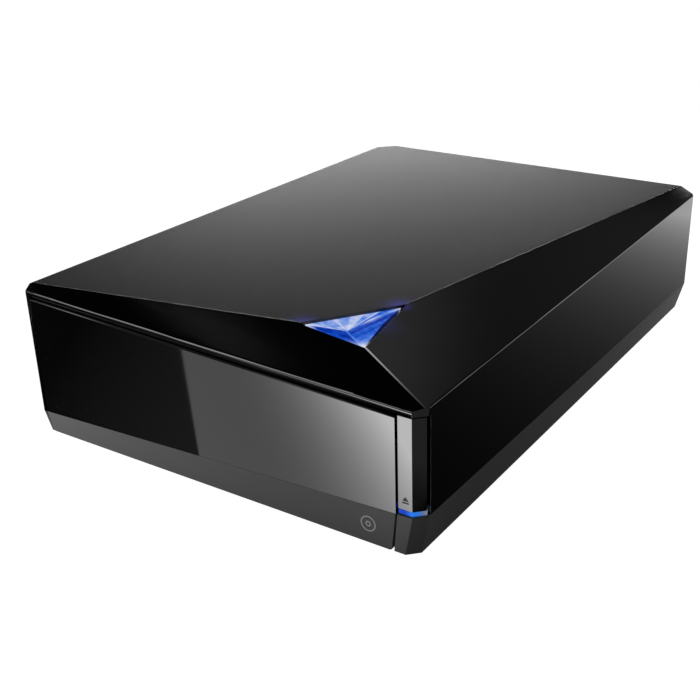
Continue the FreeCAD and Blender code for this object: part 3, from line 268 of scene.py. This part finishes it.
def rubber():
    s = Surface("rubber")
    fine = s.noise(1200, 4, 0.7)
    s.set(Base_Color=s.mix(fine, grey(0.012), grey(0.03)), Roughness=s.span(fine, 0.7, 0.9),
          Normal=s.bump(fine, 0.5, 0.00015))
    return s.material


def metal(name, colour, rough, brush=(40, 2600, 2600), strength=0.1):
    """Bare metal with a brushed grain along X and faint stains."""
    s = Surface(name)
    grain = s.noise(1.0, 3, 0.6, s.stretched(*brush))
    dark = tuple(c * 0.8 for c in colour[:3]) + (1.0,)
    s.set(Base_Color=s.mix(s.noise(60, 4), colour, dark), Metallic=1.0,
          Roughness=s.span(grain, rough - 0.07, rough + 0.09),
          Normal=s.bump(grain, strength, 0.00005))
    return s.material


def circuit_green():
    """Solder mask with copper tracks showing through, and small pads."""
    s = Surface("board_green")
    tracks = s.add("TexBrick", output=1, Vector=s.stretched(140, 140, 140), Scale=3.0,
                   Mortar_Size=0.06, Mortar_Smooth=0.1, Brick_Width=2.6, Row_Height=0.4)
    dots = s.add("TexVoronoi", Vector=s.coords.outputs["Object"], Scale=420.0, Randomness=0.3)
    pad = s.span(dots, 1.0, 0.0, 0.12, 0.16)
    mask = s.mix(tracks, (0.006, 0.05, 0.02, 1), (0.015, 0.12, 0.05, 1))
    s.set(Base_Color=s.mix(pad, mask, (0.55, 0.5, 0.3, 1)), Roughness=s.span(pad, 0.28, 0.4),
          Normal=s.bump(tracks, 0.2, 0.00005))
    return s.material


def blue_light():
    """Light strip: deep blue under the button, brightest round the bend, dying to grey."""
    s = Surface("blue_light")
    low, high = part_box("button_light_guide")
    button_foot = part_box("eject_button")[0].z
    cloud = s.noise(700, 3)
    place = s.coords.outputs["Object"]
    along = s.span(s.axis(place, 0), 0.0, 1.0, low.x, high.x)
    height = s.axis(place, 2)
    lit = s.product(s.span(height, 0.1, 1.0, low.z, low.z + 0.7 * MM),
                    s.span(height, 1.0, 0.0, button_foot, button_foot + 0.1 * MM))
    along = s.math("ADD", along, s.span(cloud, -0.06, 0.06))
    colour = s.ramp(along, ((0.0, (0.010, 0.045, 0.52, 1)), (0.28, (0.004, 0.03, 0.42, 1)),
                            (0.56, (0.02, 0.18, 0.80, 1)), (0.74, (0.02, 0.17, 0.66, 1)),
                            (0.88, (0.10, 0.16, 0.32, 1)), (1.0, (0.20, 0.21, 0.23, 1))))
    s.set(Base_Color=(0.01, 0.03, 0.12, 1), Roughness=s.span(cloud, 0.15, 0.3),
          Emission_Color=colour, Emission_Strength=lit, IOR=1.05)
    return s.material


def crystal():
    """Cut crystal lit from below: every facet glows with its own painted shade of blue, lighter
    where it stands for a painted reflection, with painted glints at the corners and bright streaks.
    """
    s = Surface("blue_crystal")
    painted_facet_shade = s.add("Attribute", output=2, options={"attribute_name": "facet_painted_shade"})
    painted_glint = s.add("Attribute", output=2, options={"attribute_name": "painted_corner_glints"})
    along = s.noise(1.0, 3, 0.6, s.stretched(260, 1500, 300, math.radians(-22)))
    cloud = s.noise(420, 4, 0.6)
    level = s.total(painted_facet_shade, s.span(along, -0.10, 0.10, 0.3, 0.7), s.span(cloud, -0.09, 0.09, 0.3, 0.7))
    # the blue glows brighter or darker with the painted facet shade
    depth = s.ramp(level, ((0.0, (0.0, 0.003, 0.05, 1)), (0.25, (0.0, 0.022, 0.34, 1)),
                           (0.5, (0.006, 0.10, 0.66, 1)), (0.75, (0.11, 0.28, 0.84, 1)),
                           (1.0, (0.58, 0.66, 0.95, 1))))
    s.set(Base_Color=(0.004, 0.015, 0.12, 1), Roughness=s.span(along, 0.02, 0.07),
          Emission_Color=s.mix(painted_glint, depth, (0.9, 0.93, 1.0, 1)),
          Emission_Strength=0.9, Coat_Weight=0.6, IOR=1.5)
    return s.material


def lens_glass():
    s = Surface("lens_glass")
    smear = s.noise(700, 2)
    s.set(Base_Color=s.mix(smear, (0.25, 0.3, 0.5, 1), (0.3, 0.32, 0.45, 1)),
          Roughness=s.span(smear, 0.02, 0.06), Transmission_Weight=0.6, IOR=1.6)
    return s.material


def printed(name, low, high):
    """Printed sign ink, slightly uneven."""
    s = Surface(name)
    fleck = s.noise(1800, 2)
    s.set(Base_Color=s.mix(fleck, grey(low), grey(high)), Roughness=s.span(fleck, 0.5, 0.65),
          Normal=s.bump(fleck, 0.1, 0.00003), Specular_IOR_Level=0.1)
    return s.material


MATERIALS = {
    "gloss_black": gloss_black(),
    "grain_black": grain_black(),
    "matt_black": moulded("matt_black", (0.031, 0.0315, 0.031, 1), 0.6, 0.3, 0.08),
    "blue_crystal": crystal(),
    "blue_light": blue_light(),
    "white_plastic": moulded("white_plastic", (0.6, 0.6, 0.58, 1), 0.45),
    "inner_black": moulded("inner_black", (0.012, 0.012, 0.0125, 1), 0.5, 0.3),
    "tray_grey": moulded("tray_grey", (0.022, 0.022, 0.024, 1), 0.42, 0.35),
    "zinc_sheet": metal("zinc_sheet", (0.6, 0.61, 0.62, 1), 0.34),
    "screw_steel": metal("screw_steel", (0.28, 0.28, 0.29, 1), 0.35),
    "polished_steel": metal("polished_steel", (0.72, 0.72, 0.73, 1), 0.14, strength=0.03),
    "rubber": rubber(),
    "board_green": circuit_green(),
    "chip_black": moulded("chip_black", (0.015, 0.015, 0.016, 1), 0.5),
    "ribbon": moulded("ribbon", (0.6, 0.56, 0.42, 1), 0.4, 0.1),
    "gear_white": moulded("gear_white", (0.7, 0.69, 0.63, 1), 0.4, 0.1),
    "die_cast": metal("die_cast", (0.5, 0.51, 0.52, 1), 0.45, (900, 900, 900), 0.4),
    "magnet_steel": metal("magnet_steel", (0.3, 0.3, 0.32, 1), 0.25),
    "lens_glass": lens_glass(),
    "pale_print": printed("pale_print", 0.16, 0.24),
    "dark_print": printed("dark_print", 0.02, 0.04),
}


# ---- mesh helpers -------------------------------------------------------------------------
def new_piece(name, mesh, body, slot, replaced=None, material=None):
    piece = bpy.data.objects.new(name, mesh)
    bpy.context.scene.collection.objects.link(piece)
    mesh.materials.clear()
    mesh.materials.append(MATERIALS[material or slot])
    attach(piece, body)
    if replaced:
        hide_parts(replaced)
    return piece


WELD = 0.002 * MM
FLAT_ANGLE = math.radians(0.4)
SMOOTH_ANGLE = math.radians(34)   # edges up to this angle are shaded smooth
BEVEL_ANGLE = math.radians(28)    # edges from this angle on are rounded


def mesh_from(bm, name):
    mesh = bpy.data.meshes.new(name)
    bm.to_mesh(mesh)
    bm.free()
    return mesh


def clean_mesh(node):
    """The node's surface welded, with flat areas dissolved to their outlines."""
    bm = bmesh.new()
    bm.from_mesh(frame["nodes"][node].data)
    bmesh.ops.remove_doubles(bm, verts=bm.verts, dist=WELD)
    bmesh.ops.dissolve_limit(bm, angle_limit=FLAT_ANGLE, verts=bm.verts, edges=bm.edges)
    bmesh.ops.recalc_face_normals(bm, faces=bm.faces)
    return mesh_from(bm, node + "_mesh")


def crisp_corners(mesh):
    """Sharp edges at the jewel's corners and wherever large faces of different slope share a
    point, so that neither bends the other's shading."""
    reach, large_area, steep = 2.5 * MM, 30 * MM * MM, math.radians(30)
    crisp = {v.index for v in mesh.vertices
             if min((v.co - corner).length for corner in (JEWEL_LEFT, JEWEL_RIGHT)) < reach}
    normals_at = {}
    for polygon in mesh.polygons:
        if polygon.area > large_area:
            for i in polygon.vertices:
                normals_at.setdefault(i, []).append(polygon.normal)
    for i, normals in normals_at.items():
        if max(normal.angle(normals[0]) for normal in normals) > steep:
            crisp.add(i)
    for edge in mesh.edges:
        if any(i in crisp for i in edge.vertices):
            edge.use_edge_sharp = True


def refined(node, bevel):
    """A finished copy of a CAD node: edges rounded, curves smooth, large faces truly flat."""
    mesh = clean_mesh(node)
    for polygon in mesh.polygons:
        polygon.use_smooth = True
    piece = new_piece(node + "_finished", mesh, BODY_OF[node], SLOT_OF[node], node)
    if bevel:
        edges = piece.modifiers.new("rounded_edges", "BEVEL")
        edges.width = bevel * MM
        edges.segments = 2
        edges.limit_method = "ANGLE"
        edges.angle_limit = BEVEL_ANGLE
        edges.use_clamp_overlap = False
    else:
        mesh.set_sharp_from_angle(angle=SMOOTH_ANGLE)
        crisp_corners(mesh)
    normals = piece.modifiers.new("flat_faces_stay_flat", "WEIGHTED_NORMAL")
    normals.mode = "FACE_AREA"
    normals.weight = 100
    normals.keep_sharp = True
    return piece


# ---- enclosure ----------------------------------------------------------------------------
# bevel widths in millimetres; the cover and the gloss panel have their radii in the CAD
EDGES = {"top_cover": 0, "front_panel": 0, "top_panel": 0.1, "base_tray": 0.15,
         "front_skirt": 0.25, "eject_button": 0.05, "button_light_guide": 0.15,
         "front_frame": 0, "rear_panel": 0.15, "disc_tray": 0.15}
for node_name, edge_width in EDGES.items():
    refined(node_name, edge_width)


def close_block_step():
    """The base's corner block follows the skirt's leaning end down, without a step on its way."""
    low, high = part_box("front_skirt")
    beside, inside = 1.2 * MM, 3 * MM
    mesh = bpy.data.objects["base_tray_finished"].data
    bm = bmesh.new()
    bm.from_mesh(mesh)
    step = [v for v in bm.verts if abs(v.co.x - high.x) < beside and v.co.y < high.y
            and low.z + inside < v.co.z < high.z - inside]
    bmesh.ops.pointmerge(bm, verts=step, merge_co=min(step, key=lambda v: v.co.x).co.copy())
    bm.to_mesh(mesh)
    bm.free()


close_block_step()


# ---- jewel --------------------------------------------------------------------------------
def between(a, b, share):
    return a + (b - a) * share


def jewel_facets(bm, painted_facet_shade, left, right, foot, apex):
    """Three outer facets, each split into finer ones, each with its own painted shade."""
    cut_back = 0.9 * MM      # the right edge stands back from the pocket by up to this much
    painted_gap_shadow = -0.8          # painted shadow, so that the gap there shows dark

    def facet(points, value):
        bm.faces.new([bm.verts.new(p) for p in points])[painted_facet_shade] = value

    def right_edge(share):
        """From the right corner to the foot, cut back a little on the way."""
        point = between(right, foot, share)
        bow = math.sin(math.pi * min(1.0, share / 0.85))
        return point + (left - point).normalized() * cut_back * bow

    # upper facet: a fan of slim facets from the apex to the long back edge, painted pale as a
    # painted reflection
    shares = (0.0, 0.08, 0.28, 0.33, 0.46, 0.62, 0.74, 0.78, 0.90, 1.0)
    painted_shades = (0.96, 0.82, 1.0, 0.84, 0.98, 0.80, 1.0, 0.56, 0.72)
    for a, b, value in zip(shares, shares[1:], painted_shades):
        facet((apex, between(right, left, 1 - a), between(right, left, 1 - b)), value)
    # right facet: bands parallel to the edge from the apex to the right corner, each with its own
    # painted shade
    shares = (0.0, 0.10, 0.22, 0.40, 0.48, 0.70, 1.0)
    painted_shades = (0.44, 0.30, 0.50, 0.40, 0.56, 0.70)
    for a, b, value in zip(shares, shares[1:], painted_shades):
        ring = [between(apex, foot, a), between(apex, foot, b), right_edge(b), right_edge(a)]
        facet(ring if b < 1 else [ring[0], foot, ring[3]], value)
    for a, b in zip(shares, shares[1:]):
        band = [right_edge(a), right_edge(b), between(right, foot, b), between(right, foot, a)]
        facet(band[:2] + band[3:] if b == 1.0 else band[1:] if a == 0.0 else band, painted_gap_shadow)
    # left facet: painted deep blue shade, with a pale sliver of painted highlight along the ridge
    ridge = [between(apex, left, 0.04), between(foot, left, 0.10)]
    for a, b, value in ((0.0, 0.4, 0.34), (0.4, 0.75, 0.27), (0.75, 1.0, 0.42)):
        facet((left, between(ridge[0], ridge[1], b), between(ridge[0], ridge[1], a)), value)
    facet((ridge[0], ridge[1], foot, apex), 0.66)


def close_below(bm, painted_facet_shade, middle):
    """Extrude the facets' outline down and inwards, and close it; sides and back get a painted dark
    shade.
    """
    depth, narrower, painted_back_shade = 2.6 * MM, 0.06, -1.0
    bmesh.ops.remove_doubles(bm, verts=bm.verts, dist=WELD / 2)
    outline = [e for e in bm.edges if e.is_boundary]
    sides = bmesh.ops.extrude_edge_only(bm, edges=outline)
    for item in sides["geom"]:
        if isinstance(item, bmesh.types.BMVert):
            item.co = between(item.co, middle, narrower)
            item.co.z -= depth
    bmesh.ops.holes_fill(bm, edges=[e for e in bm.edges if e.is_boundary])
    for face in bm.faces:
        if face[painted_facet_shade] == 0.0:
            face[painted_facet_shade] = painted_back_shade
    bmesh.ops.triangulate(bm, faces=bm.faces)
    bmesh.ops.subdivide_edges(bm, edges=bm.edges, cuts=3, use_grid_fill=True)
    bmesh.ops.recalc_face_normals(bm, faces=bm.faces)


def jewel():
    """Cut gem, a little sunk in its pocket, with painted shade stored on the facets and painted
    glints on the corners.
    """
    sunk = Vector((0, 0, -0.6 * MM))
    middle = (JEWEL_LEFT + JEWEL_RIGHT + JEWEL_FOOT) / 3
    left, right, apex = (between(p, middle, share) + sunk for p, share in
                         ((JEWEL_LEFT, 0.035), (JEWEL_RIGHT, 0.02), (JEWEL_APEX, 0.0)))
    foot = JEWEL_FOOT
    bm = bmesh.new()
    painted_facet_shade = bm.faces.layers.float.new("painted_facet_shade")
    jewel_facets(bm, painted_facet_shade, left, right, foot, apex)
    close_below(bm, painted_facet_shade, middle)
    values = []
    for face in bm.faces:
        values += [face[painted_facet_shade]] * len(face.loops)
    mesh = mesh_from(bm, "jewel_mesh")
    shade = mesh.attributes.new("facet_painted_shade", "FLOAT", "CORNER")
    shade.data.foreach_set("value", values)
    # painted highlights on the corners and painted glints: (place, reach in mm, strength)
    painted_light_spots = ((left, 1.3, 0.9), (right, 1.3, 0.9), (foot, 2.4, 0.9),
             (between(apex, (left + right) / 2, 0.25), 1.8, 0.7),
             (between(between(apex, right, 0.5), left, 0.06), 1.0, 0.9))
    glow = mesh.attributes.new("painted_corner_glints", "FLOAT", "POINT")
    for vertex, item in zip(mesh.vertices, glow.data):
        item.value = min(1.0, sum(
            strength * math.exp(-((vertex.co - spot).length / (reach * MM)) ** 2)
            for spot, reach, strength in painted_light_spots))
    return new_piece("jewel_gem", mesh, "enclosure", "blue_crystal", "jewel_lens")


jewel()


# ---- printed signs ------------------------------------------------------------------------
INK_DEPTH = 0.03 * MM
INK_PROUD = 0.004 * MM
RING_STEPS = 64


def print_sign(name, bm, node, material):
    """Turn the flat faces of a sign into a film of ink on a node's front."""
    film = bmesh.ops.extrude_face_region(bm, geom=list(bm.faces))
    for item in film["geom"]:
        if isinstance(item, bmesh.types.BMVert):
            item.co.y += INK_DEPTH
    bmesh.ops.recalc_face_normals(bm, faces=bm.faces)
    mesh = mesh_from(bm, name + "_mesh")
    new_piece(name, mesh, BODY_OF[node], SLOT_OF[node], material=material)


def disc_sign():
    """A plain ring with a centre hole, printed at the right end of the skirt."""
    low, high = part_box("front_skirt")
    centre = Vector((high.x - 10 * MM, low.y - INK_PROUD, low.z + 6.9 * MM))
    rim, hole = (2.3, 2.75), (0.55, 1.0)     # inner and outer radius in mm
    angles = [2 * math.pi * i / RING_STEPS for i in range(RING_STEPS)]
    bm = bmesh.new()
    for radii in (rim, hole):
        inner, outer = ([bm.verts.new(centre + Vector((math.cos(a), 0, math.sin(a))) * radius * MM)
                         for a in angles] for radius in radii)
        for i in range(RING_STEPS):
            j = (i + 1) % RING_STEPS
            bm.faces.new((inner[i], outer[i], outer[j], inner[j]))
    print_sign("disc_sign", bm, "front_skirt", "pale_print")


def eject_sign():
    """Dark ink in the engraved eject sign: a triangle over a bar."""
    low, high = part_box("eject_button")
    centre = Vector((high.x - 5.5 * MM, low.y + 0.15 * MM, low.z + 3.2 * MM))
    triangle = ((-1.05, 0.04), (1.05, 0.04), (0.0, 1.36))
    bar = ((-1.05, -0.86), (1.05, -0.86), (1.05, -0.44), (-1.05, -0.44))
    bm = bmesh.new()
    for corners in (triangle, bar):
        bm.faces.new([bm.verts.new(centre + Vector((x, 0, z)) * MM) for x, z in corners])
    print_sign("eject_sign", bm, "eject_button", "dark_print")


for node_name, cad in frame["nodes"].items():
    cad.data.materials.clear()
    cad.data.materials.append(MATERIALS[SLOT_OF[node_name]])


# ---- studio -------------------------------------------------------------------------------
DIFFUSE_LEVEL = 0.36         # how bright the surroundings are to matt surfaces
FLOOR_SIZE = 8.0
FLOOR_WHITE = 1.13           # the lit floor's own light, as the eye sees it


def table_light(g):
    """What glossy faces see of the floor: a dark table with a lit wedge before the front."""
    place = g.coords.outputs["Object"]
    x, y = g.axis(place, 0), g.axis(place, 1)
    before = g.span(y, 1.0, 0.0, FRONT - 17.5 * MM, FRONT - 11.5 * MM)
    # the wedge: brighter towards the lower right, with a sharp slanted left edge
    climb = g.math("POWER", g.span(g.along(place, (0.66, -0.75, 0)), 0.0, 1.0, 0.100, 0.162), 3.2)
    lit = g.math("ADD", g.math("MULTIPLY", climb, 9.0), 1.1)
    sharp_left = g.span(g.along(place, (1, -1.03, 0)), 0.0, 1.0, 0.1200, 0.1206)
    soft_right = g.span(x, 1.0, 0.0, RIGHT + 2.5 * MM, RIGHT + 22.5 * MM)
    soft_near = g.span(y, 0.0, 1.0, FRONT - 129.5 * MM, FRONT - 94.5 * MM)
    wedge = g.product(lit, sharp_left, soft_right, soft_near, before)
    # a faint light that grows towards the front right corner
    shade = g.span(g.along(place, (1.56, -1.09, 0)), 0.004, 0.13, -0.0229, 0.1031)
    shade = g.product(shade, before)
    beside = g.product(g.span(x, 0.0, 0.2, RIGHT + 32.5 * MM, RIGHT + 52.5 * MM),
                       g.span(y, 1.0, 0.0, FRONT + 0.5 * MM, FRONT + 30.5 * MM))
    behind = g.math("MULTIPLY", g.math("EXPONENT", g.math("DIVIDE", y, 0.073)), 0.035)
    behind = g.math("MINIMUM", behind, 1.4)
    reach = g.add("VectorMath", output=1, options={"operation": "LENGTH"}, i0=place)
    far = g.span(reach, 0.0, 1.3, 0.32, 0.9)
    return g.total(wedge, shade, beside, behind, far)


def studio_floor():
    """Pale floor to the eye, and a dark, partly lit table to glossy faces."""
    bpy.ops.mesh.primitive_plane_add(size=FLOOR_SIZE, location=(0, 0, 0))
    floor = bpy.context.object
    floor.name = "studio_floor"
    material = bpy.data.materials.new("studio_floor")
    material.use_nodes = True
    g = Graph(material.node_tree)
    mirrored = table_light(g)
    path = g.tree.nodes.new("ShaderNodeLightPath")
    matt = g.add("BsdfDiffuse", Color=grey(0.8))
    white = g.add("Emission", Color=grey(1.0), Strength=FLOOR_WHITE)
    share = g.add("MixShader", i0=0.86, i1=matt, i2=white)
    seen = g.add("MixShader", i0=path.outputs["Is Camera Ray"],
                 i1=g.add("Emission", Color=grey(1.0), Strength=DIFFUSE_LEVEL), i2=share)
    whole = g.add("MixShader", i0=path.outputs["Is Glossy Ray"], i1=seen,
                  i2=g.add("Emission", Color=grey(1.0), Strength=mirrored))
    out = g.tree.nodes.new("ShaderNodeOutputMaterial")
    g.tree.links.new(whole, out.inputs["Surface"])
    material.cycles.emission_sampling = "NONE"
    floor.data.materials.append(material)


def studio_world():
    """White to the eye, even to matt faces; glossy faces see a lit horizon and soft lamps."""
    world = bpy.data.worlds.new("studio_world")
    world.use_nodes = True
    bpy.context.scene.world = world
    world.cycles.sampling_method = "NONE"
    g = Graph(world.node_tree)
    ray = g.add("VectorMath", options={"operation": "NORMALIZE"},
                i0=g.coords.outputs["Generated"])
    height = g.math("ARCSINE", g.axis(ray, 2))
    horizon = g.math("EXPONENT", g.math("DIVIDE", g.math("MAXIMUM", height, 0.0), -0.066))
    glow = g.math("ADD", g.math("MULTIPLY", horizon, 0.204), 0.004)

    def lamp(azimuth, elevation, width, strength):
        cosine = g.along(ray, direction(azimuth, elevation))
        away = g.math("ARCCOSINE", g.math("MINIMUM", cosine, 1.0))
        return g.bell(away, math.radians(width), strength)

    lamps = [lamp(-26.4, -7.3, 10.8, 14.5),  # low behind the left: the gradient on the top plate
             lamp(-40.5, -3.2, 10.3, 7.9),   # its left end
             lamp(-33, 45.2, 2.8, 5.0),      # high behind the left: the ridge by the jewel
             lamp(-23, 37, 4.5, 0.22),       # its fringe on the right facet
             lamp(0, 31, 22, 0.075),         # faint and wide: the right facet
             lamp(-62.5, 49.9, 3.5, 0.12),   # a faint patch in the front facet
             lamp(-140, 20, 13, 7.0),        # front left: the rim's bright edge
             lamp(38, 40, 7, 1.4),           # high behind the right: the long right edges
             lamp(30, 6, 10, 2.6)]           # behind the right: the right wall's edge
    mirrored = g.total(glow, *lamps)
    path = g.tree.nodes.new("ShaderNodeLightPath")
    strength = g.add("Mix", i0=path.outputs["Is Glossy Ray"], i2=DIFFUSE_LEVEL, i3=mirrored)
    strength = g.add("Mix", i0=path.outputs["Is Camera Ray"], i2=strength, i3=1.0)
    background = g.add("Background", Color=grey(1.0), Strength=strength)
    out = g.tree.nodes.new("ShaderNodeOutputWorld")
    g.tree.links.new(background, out.inputs["Surface"])


def studio_light(name, location, target, size, power):
    data = bpy.data.lights.new(name, "AREA")
    data.shape = "RECTANGLE"
    data.size, data.size_y = size
    data.energy = power
    lamp = bpy.data.objects.new(name, data)
    lamp.location = location
    lamp.rotation_mode = "QUATERNION"
    lamp.rotation_quaternion = (Vector(target) - Vector(location)).to_track_quat("-Z", "Y")
    lamp.visible_camera = False
    lamp.visible_glossy = False
    bpy.context.scene.collection.objects.link(lamp)


def camera():
    """The camera stands in front of the right corner and looks down on the top."""
    azimuth, elevation, roll = (math.radians(a) for a in (34.644, 24.004, -1.796))
    distance, side, lift = 445.39 * MM, -20.49 * MM, -19.73 * MM   # from the target
    target = Vector((0, 0, 30 * MM))
    back = Vector((math.sin(azimuth) * math.cos(elevation),
                   -math.cos(azimuth) * math.cos(elevation), math.sin(elevation)))
    right = (-back).cross(Vector((0, 0, 1))).normalized()
    up = right.cross(-back)
    place = target + back * distance + right * side + up * lift
    image_right = right * math.cos(roll) + up * math.sin(roll)
    image_up = up * math.cos(roll) - right * math.sin(roll)
    data = bpy.data.cameras.new("camera")
    data.lens = 55.29
    data.sensor_width = 36.0
    data.clip_start, data.clip_end = 0.01, 20.0
    eye = bpy.data.objects.new("camera", data)
    turn = Matrix((image_right, image_up, back)).transposed().to_4x4()
    eye.matrix_world = Matrix.Translation(place) @ turn
    bpy.context.scene.collection.objects.link(eye)
    bpy.context.scene.camera = eye


disc_sign()
eject_sign()
studio_floor()
studio_world()
studio_light("front_left", (-0.17, -0.27, 0.03), (-0.06, -0.12, 0.015), (0.06, 0.05), 0.9)
studio_light("back_right", (0.20, 0.28, 0.04), (0.08, 0.12, 0.01), (0.08, 0.04), 1.4)
camera()
bpy.context.scene.view_settings.view_transform = "Standard"
